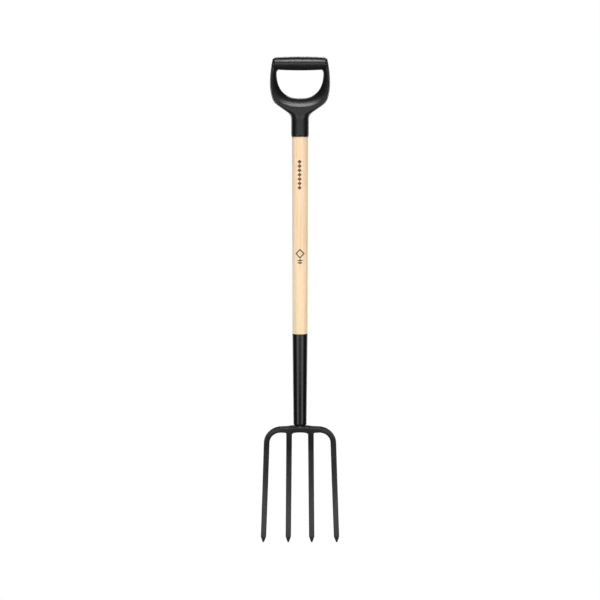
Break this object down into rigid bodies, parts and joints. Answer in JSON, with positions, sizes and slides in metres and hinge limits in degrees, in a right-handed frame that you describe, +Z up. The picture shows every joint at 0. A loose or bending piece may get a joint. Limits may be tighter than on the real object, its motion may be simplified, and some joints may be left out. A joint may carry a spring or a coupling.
{
  "type": "digging fork",
  "caption": "Four-tine digging fork with a black steel head and tapered socket, a pale ash shaft and a black moulded D-handle.",
  "frame": {"origin": "on the shaft's axis, in the plane of the tine points, at the bottom centre of the whole fork", "axes": "+Z up the shaft from the tine points to the D-handle; -Y is the front, towards which the tines curve; +X is to the right seen from the front"},
  "size_m": [0.1918, 0.0414, 1.1693],
  "materials": {
    "moulded_black": "satin",
    "grip_black": "satin",
    "ash_wood": "satin",
    "socket_coat": "satin",
    "head_coat": "satin",
    "screw_steel": "satin"
  },
  "bodies": {
    "root": {"handle_yoke": "moulded_black", "grip_sleeve": "grip_black", "handle_screw": "screw_steel", "ash_shaft": "ash_wood", "socket_tube": "socket_coat", "socket_seam_weld": "socket_coat", "socket_screw": "screw_steel", "socket_base_weld": "head_coat", "tine_bow": "head_coat", "inner_tine_left": "head_coat", "inner_tine_right": "head_coat", "tine_root_welds": "head_coat"}
  },
  "joints": []
}
